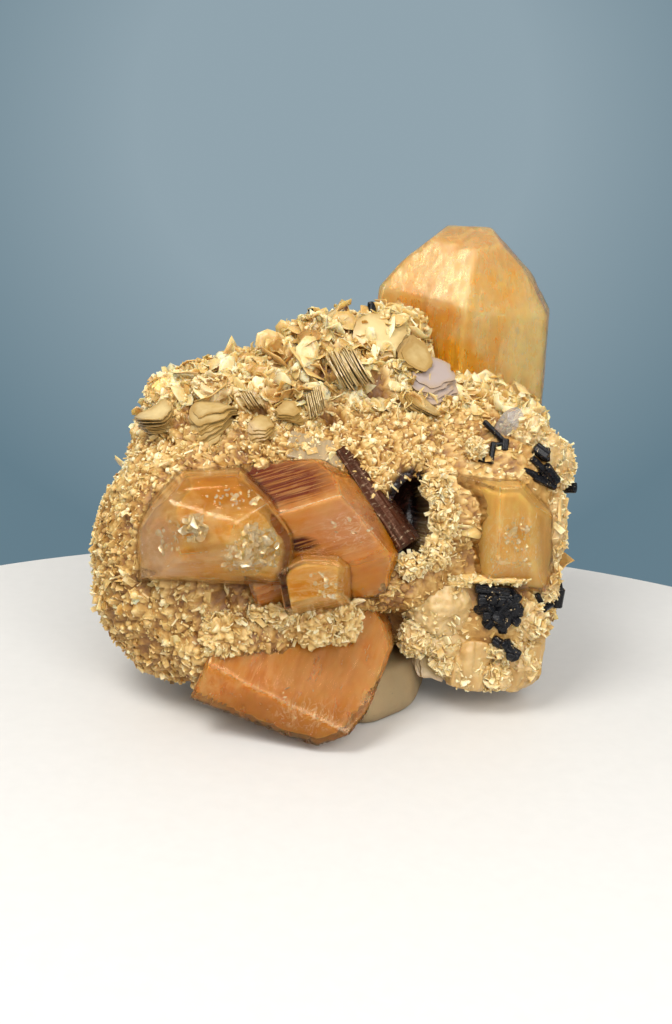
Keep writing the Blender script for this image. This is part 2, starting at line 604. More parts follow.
def drawn_together(directions, side, share):
    """Directions drawn together towards one side by a map of the ball that keeps small shapes.

    With c as share times side, direction u goes to (1 - c.c) (u + c) / |u + c|^2 + c.
    """
    shift = unit(side) * share
    moved = directions + shift
    return (1.0 - share**2) * moved / (moved**2).sum(axis=1, keepdims=True) + shift


def lobe_field(points):
    """How far outside the lump's blended lobes each point is, negative inside.

    It is -b log(sum of exp(-d / b)) over the distances d to the lobes, with b as the blend.
    """
    total = np.zeros(len(points))
    for centre, radii in LUMP_LOBES:
        scaled = (points - np.array(centre)) / np.array(radii)
        outside = (np.linalg.norm(scaled, axis=1) - 1.0) * min(radii)
        total += np.exp(-outside / LOBE_BLEND)
    return -LOBE_BLEND * np.log(total)


def lump_reach(directions):
    """Distance from the lump's inner point to its skin along each direction, found by halving."""
    near = np.zeros(len(directions))
    far = np.full(len(directions), LUMP_REACH)
    for _ in range(20):
        middle = (near + far) / 2.0
        inside = lobe_field(LUMP_CENTRE + directions * middle[:, None]) < 0.0
        near = np.where(inside, middle, near)
        far = np.where(inside, far, middle)
    return near - GRAIN_BED


def lump_normals(points):
    """Outward direction of the lump's lobes at each point, from how the field grows over a small step."""
    step = 0.05
    slopes = [lobe_field(points + step * row) - lobe_field(points - step * row) for row in np.eye(3)]
    return unit(np.stack(slopes, axis=-1))


def flaky(points):
    """How flaky the lump is at each point: 1 along its top and right shoulder, 0 over the sugary front."""
    height = points[:, 2] + 0.25 * points[:, 1] + 1.5 * value_noise(points, 6.0, 3)
    return smooth_step(height, 36.0, 39.0)


def coarse_skin(directions):
    """The lump's skin before its fine crust, along each direction: lobes, swells and knolls.

    Each knoll is a bell of its height over the distance from its place. Gives the points, the reach, and how
    deep in a hollow each point is.
    """
    reach = lump_reach(directions)
    points = LUMP_CENTRE + directions * reach[:, None]
    swell = 0.8 * rough_noise(points, 6.5, 31, 3)
    sunk = np.zeros(len(points))
    for place, radius, height in KNOLLS:
        bell = np.exp(-2.0 * ((points - place) ** 2).sum(axis=1) / radius**2)
        swell += height * bell
        sunk = np.maximum(sunk, bell if height < 0.0 else 0.0)
    reach = reach + swell
    return LUMP_CENTRE + directions * reach[:, None], reach, sunk


def in_ball(points, ball):
    """Distance of each point from the middle of an oval ball, in units of its radii."""
    place, radii = ball
    return np.linalg.norm((points - place) / radii, axis=1)


def glassy(points):
    """How smooth and glassy the lump is: 1 low on the front right and on the right shoulder, 0 elsewhere."""
    return np.max([smooth_step(-in_ball(points, spot), -1.25, -0.8) for spot in GLASSY_SPOTS], axis=0)


def crust_relief(points):
    """Height of the fine crust: rounded cells with creases between them, ridges, and folds on top.

    Cells fall off with the distance to the nearest cell point, creases lie where the two nearest are as far,
    and ridges and folds stand where a noise crosses zero.
    """
    bent = points + 0.5 * np.stack([value_noise(points, 1.7, seed) for seed in (61, 62, 63)], axis=-1)
    near, following = cell_distance(bent, 1.45, 41)
    small, after = cell_distance(bent, 0.75, 47)
    crease = 1.0 - smooth_step(following - near, 0.0, 0.28)
    crack = 1.0 - smooth_step(after - small, 0.0, 0.3)
    worm = (1.0 - np.abs(value_noise(bent, 0.8, 51))) ** 3
    curl = (1.0 - np.abs(value_noise(bent, 0.45, 52))) ** 3
    fold = (1.0 - np.abs(rough_noise(bent, 3.2, 55, 2))) ** 2
    top = flaky(points)
    sugar = 0.42 * (0.6 - near) - 0.35 * crease + 0.22 * (0.5 - small) - 0.18 * crack + 0.30 * (worm - 0.4)
    folds = 1.5 * (fold - 0.45) + 0.35 * (worm - 0.4) - 0.15 * crease
    fine = 0.16 * (curl - 0.4) + 0.05 * value_noise(points, 0.3, 57)
    return (sugar * (1.0 - 0.6 * top) + folds * top + fine) * (1.0 - 0.55 * glassy(points))


def crust_stain(points):
    """How stained the crust is at each point: broad and small patches, and more towards the foot."""
    broad = 0.02 + 0.15 * rough_noise(points, 9.0, 71, 3)
    small = 0.40 * np.clip(rough_noise(points, 3.2, 74, 3) - 0.20, 0.0, None)
    return broad + small + 0.12 * smooth_step(-points[:, 2], -20.0, -8.0)


def lump_skin():
    """The albite lump as distance over direction, with a tint from crest to crease and a pocket mark."""
    directions, quads = ball_grid(LUMP_CUTS)
    directions = unit(drawn_together(directions, FRONT_SIDE, FRONT_SHARE))
    points, reach, sunk = coarse_skin(directions)
    relief = crust_relief(points)
    full = reach + relief
    reach = hollow_out(LUMP_CENTRE, directions, full, (POCKET,))
    points = LUMP_CENTRE + directions * reach[:, None]
    tint = np.clip(0.52 + 0.85 * relief - 0.60 * sunk - crust_stain(points), 0.0, 1.0)
    near_pocket = 1.0 - smooth_step(in_ball(points, POCKET), 1.2, 1.5)
    return (points, [quads]), tint, np.maximum(smooth_step(full - reach, 0.0, 0.2), near_pocket)


def lump_spots(count, seed, margin=0.0, spare=-0.2):
    """Even random places on the lump outside every large crystal, with the normals there.

    Directions are drawn evenly and kept in proportion to the skin's area per direction: reach squared over
    the cosine between direction and normal. Places nearer than the spare to the solids' box are left out.
    """
    draw = np.random.default_rng(seed)
    directions = unit(draw.normal(size=(count * 4, 3)))
    points, _, sunk = coarse_skin(directions)
    normals = lump_normals(points)
    cosine = np.clip((directions * normals).sum(axis=1), 0.15, None)
    area = ((points - LUMP_CENTRE) ** 2).sum(axis=1) / cosine
    kept = draw.random(len(points)) < area / np.percentile(area, 97)
    kept &= clear_of_crystals(points, margin) & (in_ball(points, POCKET) > 1.12) & (sunk < 0.45)
    kept &= draw.random(len(points)) > 0.75 * glassy(points)
    low, high = np.array(CAD_BOX) / MM
    kept &= ((points > low + spare) & (points < high - spare)).all(axis=1)
    chosen = np.flatnonzero(kept)[:count]
    return points[chosen], normals[chosen], draw


def ball_spots(balls, count, seed):
    """Random places on rounded lumps, outside every large crystal, with the normals there."""
    draw = np.random.default_rng(seed)
    directions = unit(draw.normal(size=(len(balls), count, 3)))
    centres, radii = np.array(balls).transpose(1, 0, 2)[:, :, None]
    places = (centres + directions * radii).reshape(-1, 3)
    kept = clear_of_crystals(places)
    return places[kept], unit(directions / radii).reshape(-1, 3)[kept], draw


def hull_faces(points):
    """Triangles of the convex shape around a few points: each triple with every other point on one side."""
    faces = []
    for triple in itertools.combinations(range(len(points)), 3):
        one, two, three = points[list(triple)]
        side = (points - one) @ np.cross(two - one, three - one)
        if (side < 1e-6).all():
            faces.append(triple)
        elif (side > -1e-6).all():
            faces.append((triple[0], triple[2], triple[1]))
    return np.array(faces)


# A twenty-faced ball, whose corners stand at the golden ratio in three turns, and a block
GOLDEN = [(0, a, b * 1.618) for a in (-1, 1) for b in (-1, 1)]
GRAIN_POINTS = unit(np.array(GOLDEN + [(a, c, z) for z, a, c in GOLDEN] + [(c, z, a) for z, a, c in GOLDEN]))
GRAIN_FACES = hull_faces(GRAIN_POINTS)
BLADE_POINTS = np.array(list(itertools.product((-1.0, 1.0), repeat=3))) * np.array((1.0, 0.5, 0.15))
BLADE_FACES = np.array(((0, 1, 3, 2), (4, 6, 7, 5), (0, 4, 5, 1), (2, 3, 7, 6), (0, 2, 6, 4), (1, 5, 7, 3)))


def grain_shapes(count, draw):
    """Uneven grains: the twenty-faced ball with each point and each axis changed a little."""
    reach = 1.0 + draw.uniform(-0.22, 0.22, size=(count, len(GRAIN_POINTS), 1))
    return GRAIN_POINTS * reach * (1.0 + draw.uniform(-0.35, 0.35, size=(count, 1, 3))), GRAIN_FACES


def blade_shapes(count, draw):
    """Uneven blades: a flat block with each corner moved a little."""
    return BLADE_POINTS * draw.uniform(0.75, 1.25, size=(count, len(BLADE_POINTS), 3)), BLADE_FACES


def scattered(shapes, places, normals, sizes, draw):
    """One small shape at each place, turned at random, and how high each point stands on its own shape.

    The height is measured along the normal and runs from -1 to 1.
    """
    count = len(places)
    frames = frames_on(draw.normal(size=(count, 3)), draw.random(count) * TURN)
    solids, faces = shapes(count, draw)
    solids = np.einsum("nij,nvj->nvi", frames, solids * sizes[:, None, None])
    height = np.einsum("nvi,ni->nv", solids, normals) / sizes[:, None]
    return joined(solids + places[:, None, :], [faces]), height.ravel()


PETAL_AROUND = 8
PETAL_RINGS = np.array((0.55, 1.0, 1.0, 0.55))[:, None]
PETAL_SIDES = np.array((1.0, 0.6, -0.6, -1.0))[:, None]
PETAL_LENGTH = 1.45
PETAL_SIZE = 0.66


def petal_mesh(places, axes, sizes, draw, thin=0.05, bend=0.28):
    """Thin crumpled petals: rings of an uneven outline over the top and back underneath.

    Each is bent as a x^2 + b y^2, and ruffled as c r^3 cos(3 angle).
    """
    count = len(places)
    angles = circle(PETAL_AROUND)
    reach = draw.uniform(0.72, 1.12, size=(count, 1, PETAL_AROUND)) * PETAL_RINGS
    ruffle = reach**3 * np.cos(3.0 * angles + draw.random((count, 1, 1)) * 6.0)
    ruffle = ruffle * draw.normal(0.0, 0.24, (count, 1, 1))
    solids = ring_solids(reach, angles, ruffle + thin * PETAL_SIDES, thin, -thin)
    solids[..., 0] *= PETAL_LENGTH
    for axis in (0, 1):
        solids[..., 2] += (draw.normal(size=(count, 1)) * bend) * solids[..., axis] ** 2
    frames = frames_on(axes, draw.random(count) * TURN)
    solids = np.einsum("nij,nvj->nvi", frames, solids * sizes[:, None, None]) + places[:, None, :]
    return joined(solids, ring_faces(len(PETAL_RINGS), PETAL_AROUND))


def outline_reach(angles):
    """Reach of a six-sided mica sheet at each angle: the least over its sides of distance / cosine."""
    turns, distances = np.array(SHEET_OUTLINE).T
    cosines = np.cos(angles[..., None] - np.radians(turns))
    return 1.0 / np.clip(cosines / distances, 1e-3, None).max(axis=-1)


SHEET_AROUND = 36
SHEET_RINGS = np.array((0.35, 0.7, 1.0, 1.0, 0.7, 0.35))
SHEET_LEVELS = np.array((1.0, 1.0, 0.9, -0.9, -1.0, -1.0))


def book_mesh(solid, axis, radius, half_thickness, bend, seed):
    """A stack of thin mica sheets in the middle of a solid's box, with a mark on their edges.

    Each is a six-sided plate with a ragged edge, shifted, turned and bent a little. Its points are rings at
    shares of its outline over the top, round the edge and back underneath.
    """
    draw = np.random.default_rng(seed)
    low, high = (np.array(corner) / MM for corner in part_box(solid))
    sheets = max(5, int(half_thickness * 9))
    angles = circle(SHEET_AROUND)
    turned = angles[None] + draw.normal(0.0, 0.05, size=(sheets, 1))
    sides = np.arange(sheets)[:, None] * 3.1
    edge = (np.cos(angles) * 2.5 + sides, np.sin(angles) * 2.5 + sides, 0 * angles + sides * 0.2)
    ragged = rough_noise(np.stack(edge, axis=-1).reshape(-1, 3), 1.2, seed, 3).reshape(sheets, -1)
    reach = outline_reach(turned) * radius * (draw.uniform(0.86, 1.04, size=(sheets, 1)) + 0.13 * ragged)
    height = np.linspace(-half_thickness, half_thickness, sheets) + draw.normal(0.0, 0.02, sheets)
    thick = half_thickness / sheets * draw.uniform(0.55, 0.85, sheets)
    rings = SHEET_RINGS[:, None] * reach[:, None, :]
    solids = ring_solids(rings, angles, SHEET_LEVELS[:, None] * thick[:, None, None], thick, -thick)
    slide = np.linspace(-0.3, 0.3, sheets)[:, None, None] * radius * np.array((1.0, 0.4))
    solids[:, :, :2] += slide + draw.normal(0.0, 0.06 * radius, size=(sheets, 1, 2))
    bends = bend + draw.normal(0.0, 0.012, size=(sheets, 1))
    solids[..., 2] += height[:, None] + bends * solids[..., 0] ** 2
    solids[..., 2] += draw.normal(0.0, 0.03, size=(sheets, 1)) * solids[..., 1]
    turned = frames_on(np.array([axis]), np.array([draw.random() * TURN]))[0]
    rim = np.tile(np.concatenate([(0.0,), np.repeat(SHEET_RINGS > 0.9, SHEET_AROUND), (0.0,)]), sheets)
    faces = ring_faces(len(SHEET_RINGS), SHEET_AROUND)
    return joined(solids @ turned.T + (low + high) / 2.0, faces), rim


NEEDLE_AROUND = 30
NEEDLE_RINGS = np.array((0.86, 1.0, 1.0, 0.97, 1.0, 0.9))[:, None]
NEEDLE_LEVELS = np.array((0.0, 0.04, 0.3, 0.6, 0.95, 1.0))[:, None]


def needle_mesh(needles, seed):
    """Tourmaline prisms: a rounded three-sided outline with fine ribs, carried along each needle."""
    draw = np.random.default_rng(seed)
    starts, ends, radii = (np.array(part, dtype=float) for part in zip(*needles))
    count = len(radii)
    angles = circle(NEEDLE_AROUND)
    phase = draw.random((count, 1)) * TURN
    ribs = draw.uniform(-1.0, 1.0, size=(count, NEEDLE_AROUND))
    outline = 1.0 + 0.10 * np.cos(3.0 * angles + phase) + 0.06 * ribs
    span = np.linalg.norm(ends - starts, axis=1)
    reach = outline[:, None, :] * NEEDLE_RINGS * radii[:, None, None]
    tips = 0.25 * radii
    solids = ring_solids(reach, -angles, NEEDLE_LEVELS * span[:, None, None], -tips, span + tips)
    frames = frames_on(ends - starts, draw.random(count) * TURN)
    solids = np.einsum("nij,nvj->nvi", frames, solids) + starts[:, None, :]
    return joined(solids, ring_faces(len(NEEDLE_RINGS), NEEDLE_AROUND))


def nodule_skin(centre, radii, seed, crusty):
    """An uneven rounded lump: a ball stretched to its radii, swollen by rough noise, with the fine crust.

    Gives points, quads and a tint that follows the crust.
    """
    directions, quads = ball_grid(NODULE_CUTS)
    points = np.array(centre) + directions * np.array(radii)
    relief = crusty * crust_relief(points)
    lift = 0.22 * min(radii) * rough_noise(points, 2.2, seed, 4) + relief
    tint = 0.60 + 0.6 * relief + 0.1 * rough_noise(points, 2.0, seed + 1)
    return points + directions * lift[:, None], quads, np.clip(tint, 0.0, 1.0)


def place_mesh(name, points, faces, finish, smooth=True, **marks):
    """A mesh object at the origin from points in millimetres, groups of faces, and marks for each point."""
    mesh = bpy.data.meshes.new(name)
    mesh.vertices.add(len(points))
    mesh.vertices.foreach_set("co", (points * MM).astype(np.float32).ravel())
    corners = np.concatenate([group.ravel() for group in faces]).astype(np.int32)
    sizes = np.concatenate([np.full(len(group), group.shape[1]) for group in faces])
    starts = np.concatenate([[0], np.cumsum(sizes)[:-1]]).astype(np.int32)
    mesh.loops.add(len(corners))
    mesh.loops.foreach_set("vertex_index", corners)
    mesh.polygons.add(len(starts))
    mesh.polygons.foreach_set("loop_start", starts)
    mesh.update(calc_edges=True)
    mesh.validate()
    mesh.polygons.foreach_set("use_smooth", np.full(len(starts), smooth))
    for mark, values in marks.items():
        layer = mesh.attributes.new(mark, "FLOAT", "POINT")
        layer.data.foreach_set("value", np.asarray(values, dtype=np.float32))
    mesh.materials.append(finish.material)
    piece = bpy.data.objects.new(name, mesh)
    bpy.context.scene.collection.objects.link(piece)
    return piece


def add_piece(name, shape, finish, slot, replaced=(), smooth=True, **marks):
    """A mesh in its finish, fixed to the body, with its slot and the solids that it stands for."""
    piece = place_mesh(name, *shape, finish, smooth, **marks)
    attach(piece, BODY)
    if replaced:
        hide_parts(*replaced)


class Finish:
    """A material with one Principled shader, and short ways to add the nodes that it reads.

    In the name of a shader's socket, _ stands for a space.
    """

    def __init__(self, name, **values):
        self.material = bpy.data.materials.new(name)
        self.material.use_nodes = True
        self.tree = self.material.node_tree
        self.shader = self.tree.nodes["Principled BSDF"]
        for socket, value in values.items():
            self.shader.inputs[socket.replace("_", " ")].default_value = value

    def node(self, kind, sockets, output=0, **settings):
        """Add a node, with its settings and a value or a link for each socket, and return one output."""
        made = self.tree.nodes.new(kind)
        for name, value in settings.items():
            setattr(made, name, value)
        for name, value in sockets.items():
            if isinstance(value, bpy.types.NodeSocket):
                self.tree.links.new(value, made.inputs[name])
            else:
                made.inputs[name].default_value = value
        return made.outputs[output]

    def feed(self, **sources):
        """Link outputs of nodes to the shader's sockets."""
        for socket, source in sources.items():
            self.tree.links.new(source, self.shader.inputs[socket.replace("_", " ")])

    def noise(self, size, detail=3.0, roughness=0.55, distortion=0.0, turn=(0, 0, 0), stretch=(1, 1, 1)):
        """Noise from about 0 to 1 on object coordinates in a turned frame, with its size in millimetres."""
        places = {"Vector": self.node("ShaderNodeTexCoord", {}, "Object"), "Rotation": turn}
        places["Scale"] = [size * MM * share for share in stretch]
        sockets = {"Vector": self.node("ShaderNodeMapping", places, vector_type="TEXTURE"), "Scale": 1.0}
        sockets.update({"Detail": detail, "Roughness": roughness, "Distortion": distortion})
        return self.node("ShaderNodeTexNoise", sockets, "Fac")

    def ramp(self, factor, *stops):
        """Colours at given positions along a factor, blended between."""
        shade = self.node("ShaderNodeValToRGB", {"Fac": factor})
        elements = shade.node.color_ramp.elements
        while len(elements) < len(stops):
            elements.new(0.5)
        for element, (position, paint) in zip(elements, stops):
            element.position = position
            element.color = (*paint[:3], 1.0)
        return shade

    def mix(self, factor, low, high):
        """Two colours mixed by a factor."""
        sockets = {"Factor": factor}
        for index, paint in ((6, low), (7, high)):
            sockets[index] = paint if isinstance(paint, bpy.types.NodeSocket) else (*paint[:3], 1.0)
        return self.node("ShaderNodeMix", sockets, 2, data_type="RGBA")

    def between(self, value, low, high, from_low=0.0, from_high=1.0):
        """A value moved from one range to another."""
        sockets = {"Value": value, "From Min": from_low, "From Max": from_high, "To Min": low, "To Max": high}
        return self.node("ShaderNodeMapRange", sockets)

    def mark(self, name):
        """The number that each point of the mesh carries under a name."""
        return self.node("ShaderNodeAttribute", {}, "Fac", attribute_name=name)

    def maths(self, operation, *values):
        """One sum on one or two values."""
        return self.node("ShaderNodeMath", dict(enumerate(values)), operation=operation)

    def bump(self, height, strength, distance):
        """Fine relief from a height of 0 to 1, over a distance in millimetres."""
        sockets = {"Height": height, "Strength": strength, "Distance": distance * MM}
        return self.node("ShaderNodeBump", sockets)


def crystal_turn(name):
    """Euler angles of a crystal's own frame: front of its belt as X, long axis as Z."""
    return Matrix(np.stack(crystal_frame(name), axis=-1).tolist()).to_euler()


TOPAZ_INDEX = 1.62
TOPAZ_SOAK = 30.0


def topaz_shell(name, look, roughness, shine):
    """Clear topaz: see-through, with striations along the axis, scuffs, and light soaked up on the way."""
    finish = Finish(
        f"{name}_topaz_shell",
        IOR=TOPAZ_INDEX,
        Transmission_Weight=1.0,
        Specular_IOR_Level=shine,
        Specular_Tint=(*look.gleam, 1.0),
    )
    turn = crystal_turn(name)
    scuffs = finish.noise(1.3, 4.0, 0.65, turn=turn, stretch=(1, 1, 3))
    rough = finish.between(scuffs, roughness * 0.5, roughness * 2.0, 0.35, 0.7)
    worn = finish.between(finish.mark("rim"), 0.0, 0.7, 0.3, 0.9)
    lines = finish.noise(0.5, 2.0, turn=turn, stretch=(1, 1, 30))
    pits = finish.noise(0.8, 5.0, 0.7, turn=turn, stretch=(1, 1, 1.6))
    finish.feed(
        Base_Color=finish.ramp(scuffs, (0.35, look.clear), (0.75, look.amber_pale)),
        Roughness=finish.mix(worn, rough, (0.35, 0.35, 0.35)),
        Normal=finish.bump(finish.mix(0.5, lines, pits), 0.3, 0.25),
    )
    soak = finish.node("ShaderNodeVolumeAbsorption", {"Color": (*look.absorb, 1.0), "Density": TOPAZ_SOAK})
    finish.tree.links.new(soak, finish.tree.nodes["Material Output"].inputs["Volume"])
    return finish


def topaz_core(name, look, tone):
    """The hazy inside of a crystal: bands along the axis, milky clouds, and patches of their own colour."""
    haze = {"Subsurface_Weight": 0.5, "Subsurface_Radius": (1.0, 0.6, 0.3), "Subsurface_Scale": MM}
    finish = Finish(f"{name}_topaz_core", IOR=1.05, Roughness=0.35, **haze)
    main, deep, pale = (getattr(look, tone + end) for end in ("", "_deep", "_pale"))
    turn = crystal_turn(name)
    bands = finish.noise(1.8, 5.0, 0.6, turn=turn, stretch=(1, 1, 8))
    clouds = finish.noise(4.5, 4.0, 0.6, 0.6, turn)
    wisps = finish.noise(1.6, 5.0, 0.65, 2.0, turn, (1, 1, 2))
    fine = finish.noise(0.34, 2.0, 0.5, turn=turn, stretch=(1, 1, 20))
    creased = finish.noise(0.9, 3.0, 0.65, 1.0, turn, (1, 1, 2.5))
    body = finish.ramp(bands, (0.35, deep), (0.50, main), (0.70, pale))
    milky = ((clouds, 0.8, 0.50, 0.66), (wisps, 0.7, 0.52, 0.62), (fine, 0.6, 0.58, 0.66))
    for noise, most, low, high in milky:
        body = finish.mix(finish.between(noise, 0.0, most, low, high), body, pale)
    stripes = finish.between(fine, 0.3, 1.0, 0.42, 0.52)
    away = finish.maths("ABSOLUTE", finish.maths("SUBTRACT", creased, 0.5))
    crackle = finish.between(away, 0.8, 0.0, 0.0, 0.035)
    for place, radii, tint in CORE_PATCHES[name]:
        sockets = {
            "Vector": finish.node("ShaderNodeTexCoord", {}, "Object"),
            "Location": [part * MM for part in place],
            "Scale": [part * MM for part in radii],
        }
        near = finish.node("ShaderNodeMapping", sockets, vector_type="TEXTURE")
        away = finish.node("ShaderNodeVectorMath", {0: near}, "Value", operation="LENGTH")
        share = finish.between(finish.maths("ADD", away, clouds), 1.0, 0.0, 1.1, 1.6)
        if sum(tint) < DARK_TINT:
            share = finish.maths("MULTIPLY", share, stripes)
        if sum(tint) > BRIGHT_TINT:
            share = finish.maths("MULTIPLY", share, crackle)
        body = finish.mix(share, body, tint)
    body = finish.mix(finish.between(finish.mark("rim"), 0.0, 0.1, 0.0, 0.8), body, pale)
    finish.feed(Base_Color=body, Normal=finish.bump(bands, 0.4, 0.3))
    return finish


def plain_finish(name, noise, stops, rough, relief=None, own=None, **values):
    """A finish with one noise in its colour, roughness and relief, and some of the mesh's own tint."""
    finish = Finish(name, **values)
    pattern = finish.noise(**noise)
    body = finish.mix(own, finish.mark("tint"), pattern) if own else pattern
    finish.feed(Base_Color=finish.ramp(body, *stops), Roughness=finish.between(pattern, *rough))
    if relief:
        finish.feed(Normal=finish.bump(pattern, *relief))
    return finish


def grain_finish(name, stops, roughness, haze, size=0.5, relief=0.4):
    """Sugary or flaky mineral: frosted, tinted grain by grain, with light soaking in."""
    soft = {"Subsurface_Weight": haze, "Subsurface_Radius": (1.0, 0.7, 0.4), "Subsurface_Scale": 0.35 * MM}
    noise = {"size": size, "detail": 4.0, "roughness": 0.65}
    return plain_finish(name, noise, stops, (roughness - 0.15, roughness + 0.15), (relief, 0.15), 0.3, **soft)


def mica_finish(name, low, high):
    """Pearly mica sheets, darker at their edges and between them."""
    noise = {"size": 1.5, "detail": 4.0}
    stops = ((0.25, low), (0.65, high))
    pearly = {"IOR": 1.58, "Transmission_Weight": 0.25}
    return plain_finish(name, noise, stops, (0.2, 0.5), (0.3, 0.1), 0.45, **pearly)


def darker(paint, share):
    """A colour taken down to a share of itself."""
    return [share * part for part in paint]


def albite_stops(look):
    """Colours of albite from the bottom of a crevice to the palest grain."""
    return ((0.10, look.brown), (0.32, look.tan), (0.58, look.cream), (0.88, look.white))


def colour(name, value, text):
    """A colour setting of the sidebar panel."""
    return FloatVectorProperty(
        name=name, description=text, default=value, size=3, subtype="COLOR", min=0.0, max=1.0
    )


def length(name, value, text):
    """A length setting in millimetres."""
    return FloatProperty(name=name, description=text + " in mm", default=value, min=0.0, max=2.0)


def number(name, value, text):
    """A setting that counts small pieces."""
    return IntProperty(name=name, description=text, default=value, min=100, max=40000)


def power(name, value, text):
    """A lamp's power in watts."""
    return FloatProperty(name=name, description=text, default=value, min=0.0, max=50.0, unit="POWER")


class TopazLook(bpy.types.PropertyGroup):
    """Colours of the topaz crystals."""

    honey: colour("Honey", (0.99, 0.66, 0.23), "Main colour inside the tall and right crystals")
    honey_deep: colour("Honey, deep", (0.98, 0.55, 0.11), "Their darker bands")
    honey_pale: colour("Honey, pale", (1.0, 0.79, 0.45), "Their milky bands")
    orange: colour("Orange", (0.78, 0.34, 0.05), "Main colour inside the front and lower crystals")
    orange_deep: colour("Orange, deep", (0.66, 0.22, 0.01), "Their darker bands")
    orange_pale: colour("Orange, pale", (0.86, 0.50, 0.18), "Their milky bands")
    amber: colour("Amber", (0.83, 0.43, 0.07), "Main colour inside the knob and the stub")
    amber_deep: colour("Amber, deep", (0.78, 0.33, 0.03), "Their darker bands")
    amber_pale: colour("Amber, pale", (0.90, 0.62, 0.29), "Their milky bands")
    clear: colour("Clear", (1.0, 0.96, 0.84), "Colour of the clear outer layer")
    gleam: colour("Gleam", (1.0, 0.84, 0.58), "Colour of the light thrown back by the crystals' faces")
    absorb: colour("Soaked", (0.96, 0.78, 0.36), "Colour that the outer layer leaves in passing light")
    wear: length("Wear", 0.25, "Depth of worn edges")


class LumpLook(bpy.types.PropertyGroup):
    """Colours and grain sizes of the albite lump."""

    cream: colour("Cream", (0.68, 0.46, 0.17), "Colour of clean albite")
    white: colour("White", (0.94, 0.82, 0.52), "Colour of the palest grains")
    tan: colour("Tan", (0.42, 0.22, 0.05), "Colour of stained grains")
    brown: colour("Brown", (0.18, 0.065, 0.013), "Colour at the bottom of crevices")
    grain: length("Grain", 0.28, "Radius of a round grain")
    grains: number("Grains", 5000, "Number of round grains")
    blade: length("Blade", 0.36, "Half length of a blade")
    blades: number("Blades", 14000, "Number of blades")
    petals: number("Petals", 2200, "Number of petals")


class SmallLook(bpy.types.PropertyGroup):
    """Colours of the mica, feldspar, tourmaline, quartz and putty."""

    mica: colour("Mica", (0.84, 0.65, 0.30), "Colour of the mica sheets")
    mica_dark: colour("Mica, dark", (0.50, 0.30, 0.08), "Colour along the edges of the mica sheets")
    lilac: colour("Lepidolite", (0.50, 0.40, 0.36), "Colour of the lepidolite plates")
    feldspar: colour("Feldspar", (0.58, 0.38, 0.15), "Colour of the feldspar lumps")
    yellow: colour("Yellow feldspar", (0.84, 0.50, 0.09), "Colour of the yellow feldspar lump")
    schorl: colour("Tourmaline", (0.004, 0.004, 0.005), "Colour of the black tourmaline")
    smoky: colour("Smoky quartz", (0.060, 0.016, 0.007), "Colour of the smoky crystal")
    cleavage: colour("Cleavage plate", (0.80, 0.60, 0.33), "Colour of the glassy cleavage plate")
    putty: colour("Putty", (0.34, 0.24, 0.12), "Colour of the putty pad")


class StageLook(bpy.types.PropertyGroup):
    """Floor, backdrop and light."""

    floor: colour("Floor", (0.70, 0.695, 0.68), "Colour of the floor")
    wall: colour("Wall", (0.285, 0.373, 0.425), "Colour of the middle of the backdrop")
    wall_edge: colour("Wall edge", (0.130, 0.210, 0.260), "Colour of the backdrop away from its middle")
    sky: FloatProperty(
        name="Sky", description="Strength of the even light from above", default=0.60, min=0.0, max=5.0
    )
    key: power("Key", 1.25, "Power of the main lamp")
    fill: power("Fill", 1.25, "Power of the side lamp")


# Topaz crystals: name, tone, grid cuts, depth of the clear layer, its roughness and shine, how sharp the
# edges are, the solids that it stands for, and slot
TOPAZES = (
    ("tall", "honey", 84, 0.5, 0.24, 0.12, 160.0, ("topaz_tall",), "topaz"),
    ("front", "orange", 96, 0.4, 0.14, 0.15, 140.0, ("topaz_front_group",), "topaz"),
    ("knob", "amber", 90, 1.7, 0.07, 0.25, 60.0, (), "topaz"),
    ("stub", "amber", 44, 0.7, 0.08, 0.25, 60.0, (), "topaz"),
    ("lower", "orange", 84, 0.4, 0.16, 0.08, 120.0, ("topaz_lower",), "topaz"),
    ("right", "honey", 70, 0.9, 0.10, 0.25, 140.0, ("topaz_right",), "topaz_pale"),
)


class TopazPiece(bpy.types.Operator):
    """Build the six topaz crystals, each a clear shell with a hazy inside"""

    bl_idname = "mesh.topaz_crystals"
    bl_label = "Topaz Crystals"

    def execute(self, context):
        look = context.scene.topaz_look
        for seed, (name, tone, cuts, depth, rough, shine, sharp, replaced, slot) in enumerate(TOPAZES):
            shape, rim = crystal_skin(name, cuts, wear=look.wear, seed=100 * seed, sharp=sharp)
            add_piece(f"{name}_topaz", shape, topaz_shell(name, look, rough, shine), slot, replaced, rim=rim)
            inner = {"ridge": 0.15, "wave": 0.18 * depth, "wear": 0.0, "sharp": 60.0, "inset": depth}
            shape, rim = crystal_skin(name, SMALL_CUTS, seed=100 * seed + 50, **inner)
            add_piece(f"{name}_topaz_inside", shape, topaz_core(name, look, tone), slot, rim=rim)
        return {"FINISHED"}


